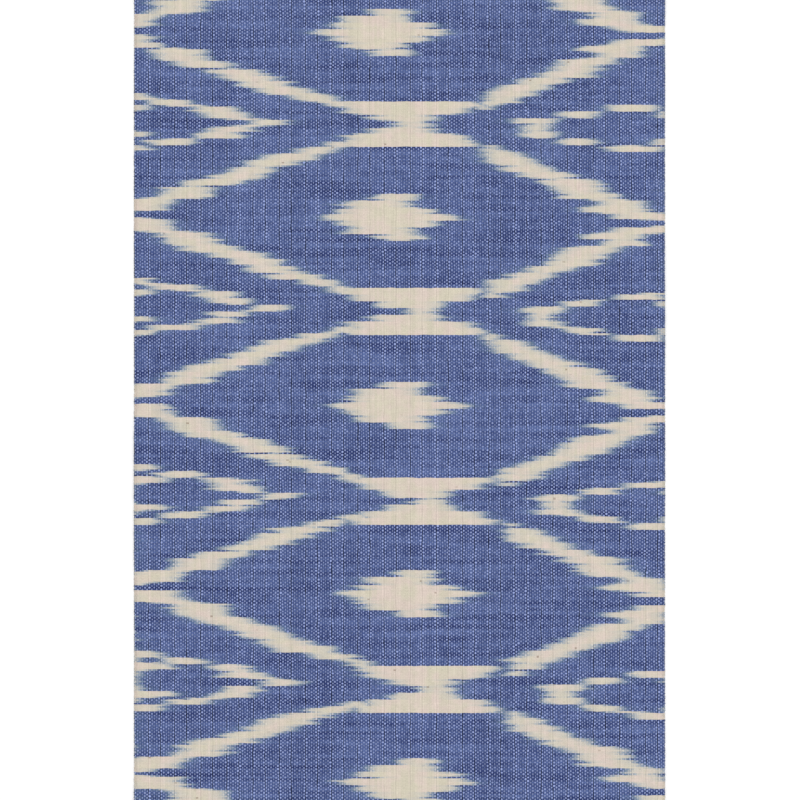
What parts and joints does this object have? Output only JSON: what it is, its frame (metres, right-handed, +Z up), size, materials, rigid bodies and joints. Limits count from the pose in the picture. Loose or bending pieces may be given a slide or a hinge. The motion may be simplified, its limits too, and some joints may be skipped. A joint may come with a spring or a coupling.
{
  "type": "ikat fabric",
  "caption": "Flat cut length of handwoven cotton ikat, indigo blue with a stepped cream lattice of lozenges, raw cut edges all round.",
  "frame": {"origin": "on the table surface, under the middle of the cloth's outline", "axes": "+X across the cloth along the resist-dyed yarns, +Y along the cut length, +Z up through the cloth's face"},
  "size_m": [0.1332, 0.2356, 0.0017],
  "materials": {
    "dyed_cotton": "matt plain-woven cotton, indigo and undyed yarns"
  },
  "bodies": {
    "root": {"ikat_cloth": "dyed_cotton"}
  },
  "joints": []
}
